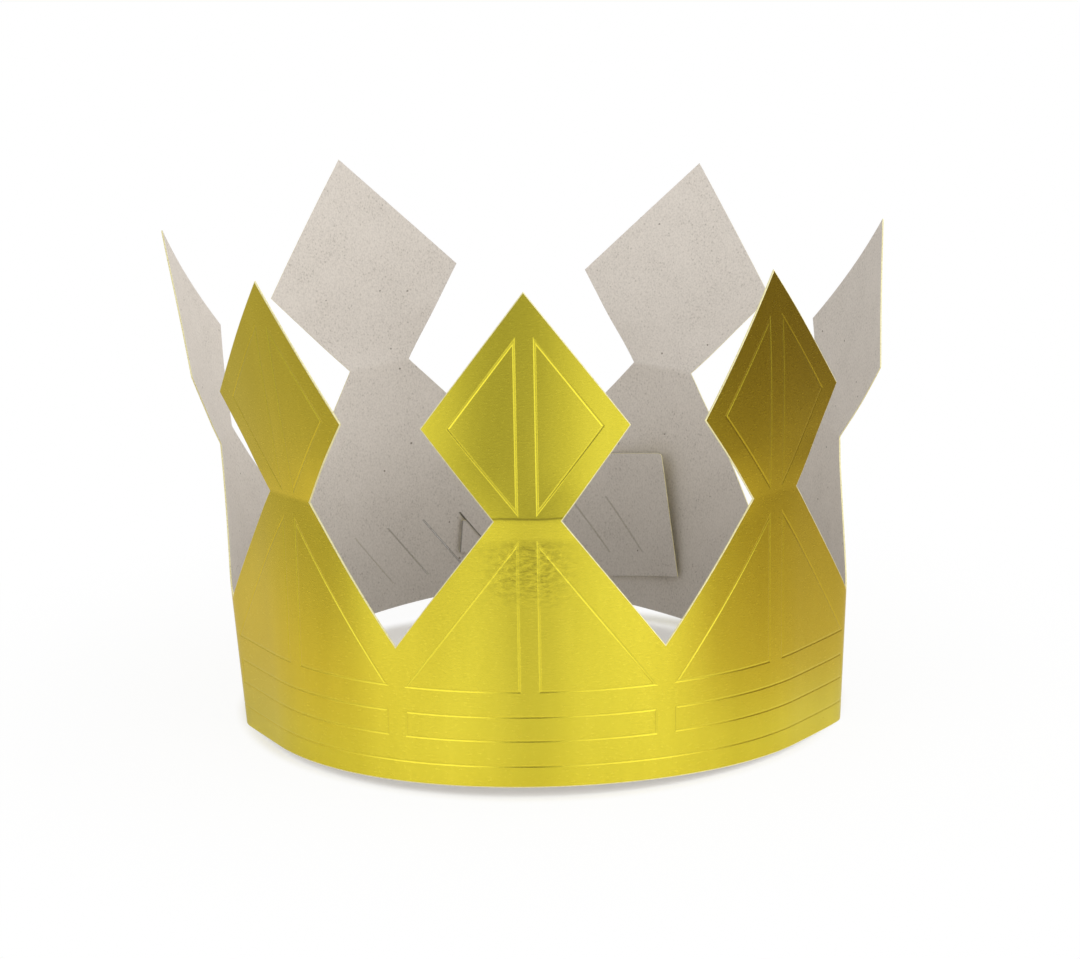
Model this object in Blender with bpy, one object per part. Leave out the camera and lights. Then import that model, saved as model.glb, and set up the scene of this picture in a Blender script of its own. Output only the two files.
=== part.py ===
# Paper crown: one strip of foil-faced greyboard, die-cut, pressed with lines,
# bent into a loop and closed at the back by a tongue pushed through a slit.
# The flat blank lies in x (along the strip) and y (up from its foot), with the
# foil face at +z. It is cut and pressed flat, then bent onto a slightly flared cone.
# The finished crown stands on z = 0 and its front faces -Y.
import math

import bmesh
import bpy
import numpy as np
from mathutils import Matrix, Vector

# The blank, in metres
point_count = 7
point_pitch = 0.085
board = 0.0005
valley_height = 0.0425
neck_height = 0.0839
neck_width = 0.0209
corner_height = 0.1125
corner_width = 0.0643
tip_height = 0.1539

# The plain ends: a flap that lies inside, and a tongue that is threaded
flap_length = 0.0545
flap_corner = 0.0025
shoulder_length = 0.0043
shoulder_run = 0.0028
tongue_length = 0.0232
tongue_play = 0.0005

# The slanted slits in the flap end, counted from the front
slit_count = 8
used_slit = 3
first_slit = 0.2361
slit_pitch = 0.0129
slit_foot = 0.0083
slit_height = 0.0195
slit_run = 0.0119
slit_kerf = 0.0003

# The pressed lines: grooves in the foil face
line_width = 0.0010
line_depth = 0.00016
spine_gap = 0.0063
gem_top = 0.1389
gem_width = 0.0471
gem_foot = 0.0866
panel_top = 0.0767
panel_gap = 0.0072
panel_foot = 0.0304
plate_top = 0.0224
plate_foot = 0.0148
plate_gap = 0.0067
border_height = 0.0068
border_inset = 0.0030

# The bent shape: the flat strip wraps a long cone whose apex is far below
apex_drop = 2.626
apex_shift = 0.0095
lap_gap = 0.0003
tongue_short = 0.0012
lip_reach = 0.0090
lip_ends = 0.0030
ease_length = 0.0400
flap_lift = 0.0045
flap_foot_lift = 0.0012
flap_lift_length = 0.0330
crease = 0.0043
neck_bend = 0.0085
neck_turn = 0.0170

# Oval and sway of the loop, as shares of its radius and of the height
oval_shares = {2: -0.0417, 3: 0.0301}
oval_degrees = {2: -53.8, 3: -41.5}
sway_shares = {2: -0.0501, 3: 0.0297}
sway_degrees = {2: -1.6, 3: 7.1}

# Two upright folds, left and right, where the loop was once pressed flat
fold_degrees = (-78.7, 75.2)
fold_shares = (0.0420, 0.0568)
fold_spread_degrees = 17.2
fold_round_degrees = 1.15
fold_bend = 0.0030

# Each point above its neck: lean outward and turn about its own height
lean_degrees = (12.7, 8.1, 7.7, -4.3, -0.7, 9.4, 20.2)
turn_degrees = (-9.0, 1.7, -3.3, 3.5, 2.9, 4.2, 12.0)
flatten_share = 0.5

# How it comes to rest: tipped back and to its left
rest_back_degrees = 3.15
rest_side_degrees = -0.18

# Working sizes
column_share = 1 / 12
lip_row_shares = (-1.0, -0.55, -0.22, 0.22, 0.55, 1.0)
fold_row_shares = (-1.0, -0.4, 0.0, 0.4, 1.0)
overrun = 0.0004
probe = 0.00005
arc_steps = 4
oval_steps = 1440
smooth_degrees = 12.0

# Sizes that follow
half_pitch = point_pitch / 2
half_board = board / 2
panel_width = point_pitch - panel_gap
plate_width = point_pitch - plate_gap
lap = board + lap_gap
last_point = (point_count - 1) // 2
last_valley = (last_point + 0.5) * point_pitch
flap_end = -last_valley - flap_length
tongue_end = last_valley + tongue_length
slit_top = slit_foot + slit_height
used_slit_top = -first_slit - used_slit * slit_pitch
loop_length = (tongue_end + tongue_short - used_slit_top) / (1 + slit_top / apex_drop)
turn_start = math.atan2(-loop_length / 2 - apex_shift, apex_drop)
turn_end = math.atan2(loop_length / 2 - apex_shift, apex_drop)
turn_total = turn_end - turn_start
turn_front = math.atan2(-apex_shift, apex_drop)


def clear_scene():
    for item in list(bpy.data.objects):
        bpy.data.objects.remove(item)


def ease(value, low, high):
    share = min(max((value - low) / (high - low), 0.0), 1.0)
    return share * share * (3 - 2 * share)


# Flat outline

def point_outline(centre):
    half_neck = neck_width / 2
    half_corner = corner_width / 2
    return [
        (centre + half_neck, neck_height),
        (centre + half_corner, corner_height),
        (centre, tip_height),
        (centre - half_corner, corner_height),
        (centre - half_neck, neck_height),
    ]


def tongue_sides():
    # the tongue just clears the two ends of the slit it goes through
    top, foot = slit_line(used_slit)
    inset = (top - foot).normalized() * lip_ends
    foot_y = turned_end(*(foot + inset), 1)[1]
    top_y = turned_end(*(top - inset), 1)[1]
    return foot_y + tongue_play, top_y - tongue_play


def flap_corner_arc():
    centre_x = flap_end + flap_corner
    centre_y = valley_height - flap_corner
    arc = []
    for step in range(arc_steps + 1):
        angle = math.pi / 2 * (1 + step / arc_steps)
        arc.append((centre_x + flap_corner * math.cos(angle), centre_y + flap_corner * math.sin(angle)))
    return arc


def blank_outline():
    shoulder = last_valley + shoulder_length
    root = shoulder + shoulder_run
    tongue_foot, tongue_top = tongue_sides()
    outline = [(flap_end, 0), (last_valley, 0)]
    outline += [(root, tongue_foot), (tongue_end, tongue_foot), (tongue_end, tongue_top), (root, tongue_top)]
    outline.append((shoulder, valley_height))
    for number in range(last_point, -last_point - 1, -1):
        outline.append(((number + 0.5) * point_pitch, valley_height))
        outline += point_outline(number * point_pitch)
    outline.append((-last_valley, valley_height))
    return outline + flap_corner_arc()


def prism(name, outline, low, high):
    mesh = bmesh.new()
    face = mesh.faces.new([mesh.verts.new((x, y, low)) for x, y in outline])
    grown = bmesh.ops.extrude_face_region(mesh, geom=[face])
    moved = [item for item in grown["geom"] if isinstance(item, bmesh.types.BMVert)]
    bmesh.ops.translate(mesh, verts=moved, vec=(0, 0, high - low))
    bmesh.ops.recalc_face_normals(mesh, faces=mesh.faces)
    return add_object(name, mesh)


def add_object(name, mesh):
    data = bpy.data.meshes.new(name)
    mesh.to_mesh(data)
    mesh.free()
    item = bpy.data.objects.new(name, data)
    bpy.context.collection.objects.link(item)
    return item


# Cutters for the pressed lines and the slits, each hidden

def hide_cutter(item):
    item.hide_render = True
    item.display_type = "WIRE"
    return item


def mitred(corners, distance):
    # each corner moved so that both of its sides move inward by the distance
    moved = []
    count = len(corners)
    for number in range(count):
        before, here, after = (Vector(corners[(number + step) % count]) for step in (-1, 0, 1))
        first = (here - before).normalized()
        second = (after - here).normalized()
        first_normal = Vector((-first.y, first.x))
        second_normal = Vector((-second.y, second.x))
        split = first_normal + second_normal
        moved.append(here + split * (distance / (1 + first_normal.dot(second_normal))))
    return moved


def groove_half_width():
    return line_width / 2 * (line_depth + overrun) / line_depth


def add_ring_groove(mesh, corners):
    # a V-shaped bar along a closed line, mitred at its corners
    half = groove_half_width()
    top = half_board + overrun
    rings = []
    for distance, level in ((0, half_board - line_depth), (half, top), (-half, top)):
        rings.append([mesh.verts.new((spot.x, spot.y, level)) for spot in mitred(corners, distance)])
    count = len(corners)
    for first, second in ((0, 1), (1, 2), (2, 0)):
        for number in range(count):
            after = (number + 1) % count
            mesh.faces.new((rings[first][number], rings[first][after], rings[second][after], rings[second][number]))


def add_straight_groove(mesh, start, end, height):
    half = groove_half_width()
    top = half_board + overrun
    ends = []
    for x in (start, end):
        spots = ((x, height, half_board - line_depth), (x, height + half, top), (x, height - half, top))
        ends.append([mesh.verts.new(spot) for spot in spots])
    mesh.faces.new(ends[0])
    mesh.faces.new(reversed(ends[1]))
    for number in range(3):
        after = (number + 1) % 3
        mesh.faces.new((ends[0][number], ends[1][number], ends[1][after], ends[0][after]))


def pressed_rings(centre):
    half_gap = spine_gap / 2
    rings = []
    for side in (-1, 1):
        near = centre + side * half_gap
        gem = [(near, gem_top), (centre + side * gem_width / 2, corner_height), (near, gem_foot)]
        panel = [(near, panel_top), (centre + side * panel_width / 2, panel_foot), (near, panel_foot)]
        rings += [gem, panel]
    half_plate = plate_width / 2
    rings.append([
        (centre - half_plate, plate_foot), (centre + half_plate, plate_foot),
        (centre + half_plate, plate_top), (centre - half_plate, plate_top),
    ])
    return rings


def line_cutter():
    mesh = bmesh.new()
    for number in range(-last_point, last_point + 1):
        for ring in pressed_rings(number * point_pitch):
            add_ring_groove(mesh, ring)
    add_straight_groove(mesh, border_inset - last_valley, last_valley - border_inset, border_height)
    bmesh.ops.recalc_face_normals(mesh, faces=mesh.faces)
    return hide_cutter(add_object("line_cutter", mesh))


def slit_line(number):
    # top and foot of one slit
    x = -first_slit - number * slit_pitch
    return Vector((x, slit_top)), Vector((x - slit_run, slit_foot))


def slit_cutter():
    mesh = bmesh.new()
    for number in range(slit_count):
        top, foot = slit_line(number)
        along = (foot - top).normalized()
        across = Vector((-along.y, along.x)) * (slit_kerf / 2)
        corners = [top + across, top - across, foot - across, foot + across]
        low = [mesh.verts.new((spot.x, spot.y, -half_board - overrun)) for spot in corners]
        high = [mesh.verts.new((spot.x, spot.y, half_board + overrun)) for spot in corners]
        mesh.faces.new(low)
        mesh.faces.new(reversed(high))
        for corner in range(4):
            after = (corner + 1) % 4
            mesh.faces.new((low[corner], high[corner], high[after], low[after]))
    bmesh.ops.recalc_face_normals(mesh, faces=mesh.faces)
    return hide_cutter(add_object("slit_cutter", mesh))


def cut(item, cutter):
    modifier = item.modifiers.new(cutter.name, "BOOLEAN")
    modifier.operation = "DIFFERENCE"
    modifier.object = cutter


def cut_blank():
    blank = prism("flat_blank", blank_outline(), -half_board, half_board)
    cut(blank, line_cutter())
    cut(blank, slit_cutter())
    bpy.context.view_layer.update()
    shape = blank.evaluated_get(bpy.context.evaluated_depsgraph_get())
    mesh = bmesh.new()
    mesh.from_mesh(shape.to_mesh())
    shape.to_mesh_clear()
    hide_cutter(blank)
    return mesh


# The two ends lie on the same cone, turned about its apex by the closing angle

def turned_end(x, y, ends):
    # the same place on the cone, in the other end's own flat frame
    across = x - apex_shift
    up = apex_drop + y
    angle = ends * turn_total
    new_across = across * math.cos(angle) + up * math.sin(angle)
    new_up = up * math.cos(angle) - across * math.sin(angle)
    return new_across + apex_shift, new_up - apex_drop


def slit_place(x, y):
    # distance from the used slit's line, and the place along it from its foot
    top, foot = slit_line(used_slit)
    along = (top - foot).normalized()
    offset = Vector((x, y)) - foot
    return offset.x * along.y - offset.y * along.x, offset.dot(along), (top - foot).length


def lip_opening(x, y):
    # how far the used slit's lips stand open here, as a share of the lap
    away, place, length = slit_place(x, y)
    spread = max(0.0, 1 - abs(away) / lip_reach) ** 2
    return spread * ease(place, 0, lip_ends) * ease(length - place, 0, lip_ends), away


def layer_offset(x, y):
    # how far the board is moved outward to lie over or under the other end
    edge = loop_length / 2 - ease_length
    if x > 0:
        over = ease(x, edge - flap_length - ease_length, edge - flap_length)
        back_x, back_y = turned_end(x, y, -1)
        opening, away = lip_opening(back_x, back_y)
        if away > 0 and x > last_valley:
            return lap * (opening - 1.5)
        return lap * (over / 2 - opening)
    under = ease(-x, edge - ease_length, edge)
    opening, away = lip_opening(x, y)
    side = 1 if away > 0 else -1
    height_share = min(max(y / valley_height, 0.0), 1.0)
    lift = flap_foot_lift + (flap_lift - flap_foot_lift) * height_share
    lifted = ease(-x, -flap_end - flap_lift_length, -flap_end + flap_lift_length)
    return lap * (side * opening - under / 2) - 2 * lift * lifted


# The bent sheet

oval_headings = np.linspace(-math.pi, math.pi, oval_steps + 1)


def oval_section():
    angles = oval_headings
    reach = np.ones_like(angles)
    for waves, share in oval_shares.items():
        reach += share * np.cos(waves * (angles - math.radians(oval_degrees[waves])))
    for degrees, share in zip(fold_degrees, fold_shares):
        away = np.hypot(angles - math.radians(degrees), math.radians(fold_round_degrees))
        reach += share * np.maximum(0, 1 - away / math.radians(fold_spread_degrees)) ** 2
    ahead = reach * np.cos(angles)
    aside = reach * np.sin(angles)
    steps = np.hypot(np.diff(ahead), np.diff(aside))
    walked = np.concatenate([[0], np.cumsum(steps)])
    scale = turn_total / walked[-1]
    return ahead * scale, aside * scale, walked * scale


oval_ahead, oval_aside, oval_walked = oval_section()
oval_front = oval_walked[oval_steps // 2]


def cone_point(x, y):
    across = x - apex_shift
    up = apex_drop + y
    reach = math.hypot(across, up)
    walked = (math.atan2(across, up) - turn_front + oval_front) % turn_total
    ahead = float(np.interp(walked, oval_walked, oval_ahead))
    aside = float(np.interp(walked, oval_walked, oval_aside))
    rise = math.sqrt(1 - ahead * ahead - aside * aside)
    heading = math.atan2(aside, ahead)
    height = reach - apex_drop
    out = 0
    round_way = 0
    lift = 0
    for waves, share in sway_shares.items():
        angle = waves * (heading - math.radians(sway_degrees[waves]))
        out += share * height * math.cos(angle)
        round_way -= share * height * math.sin(angle) / waves
        lift -= share * loop_length / (2 * math.pi) * math.cos(angle) / waves ** 2
    outward = Vector((math.sin(heading), -math.cos(heading), 0))
    onward = Vector((math.cos(heading), math.sin(heading), 0))
    spot = Vector((aside, -ahead, rise)) * reach - Vector((0, 0, apex_drop - lift))
    return spot + outward * out + onward * round_way


def neck_frame(number):
    centre = number * point_pitch
    middle = cone_point(centre, neck_height)
    onward = cone_point(centre + probe, neck_height) - cone_point(centre - probe, neck_height)
    upward = cone_point(centre, neck_height + probe) - cone_point(centre, neck_height - probe)
    return middle, onward.normalized(), upward.normalized()


neck_frames = {number: neck_frame(number) for number in range(-last_point, last_point + 1)}


def sheet_point(x, y):
    spot = cone_point(x, y)
    if y <= neck_height - neck_bend:
        return spot
    number = min(max(round(x / point_pitch), -last_point), last_point)
    centre = number * point_pitch
    onward = cone_point(centre + neck_width / 2, y) - cone_point(centre - neck_width / 2, y)
    flat = cone_point(centre, y) + onward * ((x - centre) / neck_width)
    spot = spot.lerp(flat, flatten_share * ease(y, neck_height - neck_bend, neck_height + neck_bend))
    middle, hinge, upright = neck_frames[number]
    lean = math.radians(lean_degrees[number + last_point]) * ease(y, neck_height - crease, neck_height + crease)
    turn = math.radians(turn_degrees[number + last_point]) * ease(y, neck_height - neck_bend, neck_height + neck_turn)
    return middle + Matrix.Rotation(turn, 3, upright) @ Matrix.Rotation(lean, 3, hinge) @ (spot - middle)


def sheet_normal(x, y):
    onward = sheet_point(x + probe, y) - sheet_point(x - probe, y)
    upward = sheet_point(x, y + probe) - sheet_point(x, y - probe)
    return onward.cross(upward).normalized()


def bent_point(x, y, z):
    return sheet_point(x, y) + sheet_normal(x, y) * (z + layer_offset(x, y))


# Bend lines: the flat board is scored into columns and rows that bend cleanly

def score(mesh, spot, normal, reach=None):
    geometry = list(mesh.faces)
    if reach:
        geometry = [face for face in geometry if reach(face.calc_center_median())]
    edges = {edge for face in geometry for edge in face.edges}
    corners = {corner for face in geometry for corner in face.verts}
    bmesh.ops.bisect_plane(mesh, geom=geometry + list(edges) + list(corners), dist=probe / 10,
                           plane_co=spot, plane_no=normal)


def score_columns(mesh):
    column = point_pitch * column_share
    first = math.ceil(flap_end / column)
    last = math.floor(tongue_end / column)
    for number in range(first, last + 1):
        score(mesh, (number * column, 0, 0), (1, 0, 0))


def score_folds(mesh):
    for degrees in fold_degrees:
        walked = float(np.interp(math.radians(degrees), oval_headings, oval_walked))
        for share in fold_row_shares:
            turn = turn_front + walked - oval_front + share * fold_bend / apex_drop
            score(mesh, (apex_shift, -apex_drop, 0), (math.cos(turn), -math.sin(turn), 0))


def score_necks(mesh):
    for height in (-neck_bend, -crease, 0, crease, neck_bend, neck_turn):
        score(mesh, (0, neck_height + height, 0), (0, 1, 0))


def score_slit(mesh, ends):
    top, foot = slit_line(used_slit)
    length = (top - foot).length
    along = (top - foot).normalized()
    across = Vector((along.y, -along.x))
    middle = (top + foot) / 2
    if ends:
        moved = [Vector(turned_end(spot.x, spot.y, ends)) for spot in (top, foot)]
        along = (moved[0] - moved[1]).normalized()
        across = Vector((along.y, -along.x))
        middle = (moved[0] + moved[1]) / 2

    def near(centre):
        offset = Vector((centre.x, centre.y)) - middle
        return offset.length < length / 2 + lip_reach

    for share in lip_row_shares:
        spot = middle + across * (share * lip_reach)
        score(mesh, (spot.x, spot.y, 0), (across.x, across.y, 0), near)
    for place in (0, lip_ends / 2, lip_ends, length / 2, length - lip_ends, length - lip_ends / 2, length):
        spot = middle + along * (place - length / 2)
        score(mesh, (spot.x, spot.y, 0), (along.x, along.y, 0), near)


# Finish

def principled(name, colour, roughness, metallic):
    material = bpy.data.materials.new(name)
    material.use_nodes = True
    shader = material.node_tree.nodes["Principled BSDF"]
    shader.inputs["Base Color"].default_value = (*colour, 1)
    shader.inputs["Roughness"].default_value = roughness
    shader.inputs["Metallic"].default_value = metallic
    return material


def paint_faces(mesh):
    # foil outside, greyboard inside, pale cut edges, told apart while still flat
    for face in mesh.faces:
        if face.normal.z > 0.5:
            face.material_index = 0
        elif face.normal.z < -0.5:
            face.material_index = 1
        else:
            face.material_index = 2


def bend(mesh):
    for corner in mesh.verts:
        corner.co = bent_point(*corner.co)


def stand(mesh):
    # turned to its attitude at rest, then its box's foot is centred on the origin
    turn = Matrix.Rotation(math.radians(rest_side_degrees), 3, "Y")
    turn = turn @ Matrix.Rotation(-math.radians(rest_back_degrees), 3, "X")
    bmesh.ops.rotate(mesh, verts=mesh.verts, cent=(0, 0, 0), matrix=turn)
    places = np.array([corner.co for corner in mesh.verts])
    low = places.min(axis=0)
    high = places.max(axis=0)
    foot = Vector(((low[0] + high[0]) / 2, (low[1] + high[1]) / 2, low[2]))
    bmesh.ops.translate(mesh, verts=mesh.verts, vec=-foot)


def crown():
    mesh = cut_blank()
    score_columns(mesh)
    score_folds(mesh)
    score_necks(mesh)
    score_slit(mesh, 0)
    score_slit(mesh, 1)
    paint_faces(mesh)
    bmesh.ops.triangulate(mesh, faces=mesh.faces)
    bend(mesh)
    stand(mesh)
    item = add_object("crown_band", mesh)
    item.data.materials.append(principled("gold_foil", (0.60, 0.50, 0.03), 0.28, 1.0))
    item.data.materials.append(principled("greyboard", (0.45, 0.41, 0.37), 0.9, 0.0))
    item.data.materials.append(principled("cut_edge", (0.75, 0.70, 0.55), 0.85, 0.0))
    item.data.shade_smooth()
    item.data.set_sharp_from_angle(angle=math.radians(smooth_degrees))
    return item


clear_scene()
crown()
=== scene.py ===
import math
import bmesh
import bpy
import numpy as np
from mathutils import Matrix, Vector


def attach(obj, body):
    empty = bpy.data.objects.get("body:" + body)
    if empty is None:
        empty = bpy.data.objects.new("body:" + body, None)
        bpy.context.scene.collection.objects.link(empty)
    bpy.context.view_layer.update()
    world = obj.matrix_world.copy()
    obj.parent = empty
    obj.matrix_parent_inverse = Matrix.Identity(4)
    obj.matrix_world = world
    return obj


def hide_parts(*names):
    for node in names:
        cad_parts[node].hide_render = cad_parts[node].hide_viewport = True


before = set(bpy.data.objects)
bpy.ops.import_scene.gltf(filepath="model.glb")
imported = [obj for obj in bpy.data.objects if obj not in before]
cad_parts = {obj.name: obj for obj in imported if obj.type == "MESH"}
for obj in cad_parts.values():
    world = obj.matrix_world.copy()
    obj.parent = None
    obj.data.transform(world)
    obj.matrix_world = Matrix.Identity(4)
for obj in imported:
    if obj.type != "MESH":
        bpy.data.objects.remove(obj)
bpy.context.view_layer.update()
print("frame loaded")

# Camera, at the photograph's height and lens

view = {
    "place": (0.01445, -1.5795, 0.52919),
    "aim": (0.00408, 0.0, 0.07219),
    "rollDegrees": -1.294,
    "lens": 170.92,
    "sensor": 36,
    "clip": (0.05, 50),
}


def makeCamera():
    data = bpy.data.cameras.new("camera")
    data.lens = view["lens"]
    data.sensor_width = view["sensor"]
    data.clip_start, data.clip_end = view["clip"]
    camera = bpy.data.objects.new("camera", data)
    bpy.context.scene.collection.objects.link(camera)
    place = Vector(view["place"])
    camera.location = place
    camera.rotation_mode = "QUATERNION"
    level = (Vector(view["aim"]) - place).to_track_quat("-Z", "Y")
    roll = Matrix.Rotation(math.radians(view["rollDegrees"]), 3, "Z").to_quaternion()
    camera.rotation_quaternion = level @ roll
    bpy.context.scene.camera = camera


makeCamera()
print("camera set")

# The crown's flat blank, in metres, as the die cuts it

blank = {
    "pointCount": 7,
    "pitch": 0.085,
    "board": 0.0005,
    "valley": 0.0425,
    "neckHeight": 0.0839,
    "neckWidth": 0.0209,
    "cornerHeight": 0.1125,
    "cornerWidth": 0.0643,
    "tip": 0.1539,
    "flapLength": 0.0545,
    "flapCorner": 0.0012,
    "cornerSteps": 4,
    "shoulder": 0.0043,
    "shoulderRun": 0.0028,
    "tongueLength": 0.0232,
    "tonguePlay": 0.0005,
    "column": 0.085 / 36,      # spacing of the bend lines
    "edgeRoll": 0.00028,       # the die crushes the outline this wide, so that its paper shows
    "edgeDrop": 0.00014,       # and this deep
    "rimTilt": (0.5, 0.93),    # a crushed face's upward slope
    "rimShare": 0.6,           # and how far down the drop its middle may lie
}

slits = {
    "count": 8,
    "used": 3,
    "first": 0.2361,
    "pitch": 0.0129,
    "foot": 0.0083,
    "height": 0.0195,
    "run": 0.0119,
    "kerf": 0.00005,
    "hair": 0.00055,           # half width of the painted shade line along each slit
    "hairCore": 0.3,           # share of that which is darkest
    "marks": (0.15, 0.38, 0.55, 1.0, 0.3, 0.3, 0.3, 0.3),     # how strongly each one's painted shade shows
}

pressed = {
    "width": 0.0009,
    "depth": 0.00009,
    "profile": ((0.30, 0.82), (0.70, 0.46), (1.0, 0.0)),     # shares of half the width and of the depth
    "flare": 0.35,             # how fast the cutter widens above the board
    "spineGap": 0.0063,
    "gemTop": 0.1389,
    "gemWidth": 0.0471,
    "gemFoot": 0.0866,
    "panelTop": 0.0767,
    "panelGap": 0.0072,
    "panelFoot": 0.0304,
    "plateTop": 0.0224,
    "plateFoot": 0.0148,
    "plateGap": 0.0067,
    "border": 0.0068,
    "borderInset": 0.0030,
}

# How the blank is bent and closed

bending = {
    "apexDrop": 2.626,
    "apexShift": 0.0095,
    "lapGap": 0.0003,
    "tongueShort": 0.0012,
    "tongueLift": 0.0004,
    "tongueLiftLength": 0.012,
    "lipReach": 0.0090,
    "lipEnds": 0.0030,
    "easeLength": 0.0400,
    "flapLift": 0.0045,
    "flapFootLift": 0.0012,
    "flapLiftLength": 0.0330,
    "crease": 0.0020,
    "neckBend": 0.0085,
    "neckTurn": 0.0170,
    "oval": {2: (-0.0417, -53.8), 3: (0.0301, -41.5)},
    "sway": {2: (-0.0501, -1.6), 3: (0.0297, 7.1)},
    "folds": ((-78.7, 0.0420), (75.2, 0.0568)),
    "foldSpread": 17.2,
    "foldRound": 1.15,
    "foldBend": 0.0030,
    "lean": (12.7, 8.1, 7.7, -4.3, -0.7, 9.4, 20.2),
    "turn": (-9.0, 1.7, -3.3, 3.5, 2.9, 4.2, 12.0),
    "bow": (0.0, 0.0, 2.0, 0.0, 6.0, 0.0, 0.0),      # degrees that each gem arches between neck and tip
    "flatten": 0.5,             # how flat the sheet lies at the necks, of 1
    "restBack": 3.15,
    "restSide": -0.18,
    "ovalSteps": 1440,
    "probe": 0.00005,
}

# Where the flat board is scored so that it bends cleanly

scores = {
    "snap": 0.000005,
    "fold": (-1.0, -0.6, -0.3, 0.0, 0.3, 0.6, 1.0),
    "crease": (-1.0, -0.5, 0.0, 0.5, 1.0),
    "belowNeck": (-1.0, -0.75),
    "aboveNeck": (0.75, 1.0, 1.5),
    "gem": (0.40, 0.55, 0.70, 0.85),
    "lip": (-1.0, -0.7, -0.45, -0.25, -0.1, 0.1, 0.25, 0.45, 0.7, 1.0),
}

halfBoard = blank["board"] / 2
overrun = 0.0004               # the cutters stand this far past the board
stripUnit = 10                 # the strip map is in tenths of a metre
lap = blank["board"] + bending["lapGap"]
lastPoint = (blank["pointCount"] - 1) // 2
lastValley = (lastPoint + 0.5) * blank["pitch"]
flapEnd = -lastValley - blank["flapLength"]
tongueEnd = lastValley + blank["tongueLength"]
slitTop = slits["foot"] + slits["height"]
usedTop = -slits["first"] - slits["used"] * slits["pitch"]
drop = bending["apexDrop"]
shift = bending["apexShift"]
loopLength = (tongueEnd + bending["tongueShort"] - usedTop) / (1 + slitTop / drop)
turnTotal = math.atan2(loopLength / 2 - shift, drop) - math.atan2(-loopLength / 2 - shift, drop)
turnFront = math.atan2(-shift, drop)


def ease(value, low, high):
    share = min(max((value - low) / (high - low), 0.0), 1.0)
    return share * share * (3 - 2 * share)


def slitLine(number):
    x = -slits["first"] - number * slits["pitch"]
    return Vector((x, slitTop)), Vector((x - slits["run"], slits["foot"]))


def turnedEnd(x, y, ends):
    # the same place on the cone, in the other end's own flat frame
    across, up, angle = x - shift, drop + y, ends * turnTotal
    return (across * math.cos(angle) + up * math.sin(angle) + shift,
            up * math.cos(angle) - across * math.sin(angle) - drop)


def pointOutline(centre):
    neck, corner = blank["neckWidth"] / 2, blank["cornerWidth"] / 2
    low, wide = blank["neckHeight"], blank["cornerHeight"]
    return [(centre + neck, low), (centre + corner, wide), (centre, blank["tip"]),
            (centre - corner, wide), (centre - neck, low)]


def tongueSides():
    top, foot = slitLine(slits["used"])
    inset = (top - foot).normalized() * bending["lipEnds"]
    footY = turnedEnd(*(foot + inset), 1)[1]
    topY = turnedEnd(*(top - inset), 1)[1]
    return footY + blank["tonguePlay"], topY - blank["tonguePlay"]


def blankOutline():
    root = lastValley + blank["shoulder"] + blank["shoulderRun"]
    low, high = tongueSides()
    outline = [(flapEnd, 0), (lastValley, 0), (root, low), (tongueEnd, low), (tongueEnd, high), (root, high)]
    outline.append((lastValley + blank["shoulder"], blank["valley"]))
    for number in range(lastPoint, -lastPoint - 1, -1):
        outline.append(((number + 0.5) * blank["pitch"], blank["valley"]))
        outline += pointOutline(number * blank["pitch"])
    outline.append((-lastValley, blank["valley"]))
    radius, steps = blank["flapCorner"], blank["cornerSteps"]
    for step in range(steps + 1):
        angle = math.pi / 2 * (1 + step / steps)
        along, down = radius * (1 + math.cos(angle)), radius * (1 - math.sin(angle))
        outline.append((flapEnd + along, blank["valley"] - down))
    return outline


def addObject(name, mesh):
    data = bpy.data.meshes.new(name)
    mesh.to_mesh(data)
    mesh.free()
    item = bpy.data.objects.new(name, data)
    bpy.context.scene.collection.objects.link(item)
    return item


def plate(name, outlines, low, high):
    mesh = bmesh.new()
    faces = [mesh.faces.new([mesh.verts.new((x, y, low)) for x, y in outline]) for outline in outlines]
    grown = bmesh.ops.extrude_face_region(mesh, geom=faces)
    moved = [item for item in grown["geom"] if isinstance(item, bmesh.types.BMVert)]
    bmesh.ops.translate(mesh, verts=moved, vec=(0, 0, high - low))
    bmesh.ops.recalc_face_normals(mesh, faces=mesh.faces)
    return addObject(name, mesh)


def mitred(corners, distance):
    moved = []
    for number in range(len(corners)):
        before, here, after = (Vector(corners[(number + step) % len(corners)]) for step in (-1, 0, 1))
        first, second = (here - before).normalized(), (after - here).normalized()
        firstNormal, secondNormal = Vector((-first.y, first.x)), Vector((-second.y, second.x))
        moved.append(here + (firstNormal + secondNormal) * (distance / (1 + firstNormal.dot(secondNormal))))
    return moved


def grooveProfile():
    # a rounded trough: its floor, its two flanks and its two lips, then above the board
    half, depth = pressed["width"] / 2, pressed["depth"]
    flank = [(half * share, halfBoard - depth * deep) for share, deep in pressed["profile"]]
    flank.append((half * (1 + overrun / depth * pressed["flare"]), halfBoard + overrun))
    return [(0, halfBoard - depth)] + flank + [(-away, level) for away, level in reversed(flank)]


def joinRings(mesh, rings, closed):
    count = len(rings[0])
    for ring, nextRing in zip(rings, rings[1:] + rings[:1]):
        for number in range(count if closed else count - 1):
            after = (number + 1) % count
            mesh.faces.new((ring[number], ring[after], nextRing[after], nextRing[number]))
    if not closed:
        mesh.faces.new([ring[0] for ring in rings])
        mesh.faces.new([ring[-1] for ring in reversed(rings)])


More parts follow.
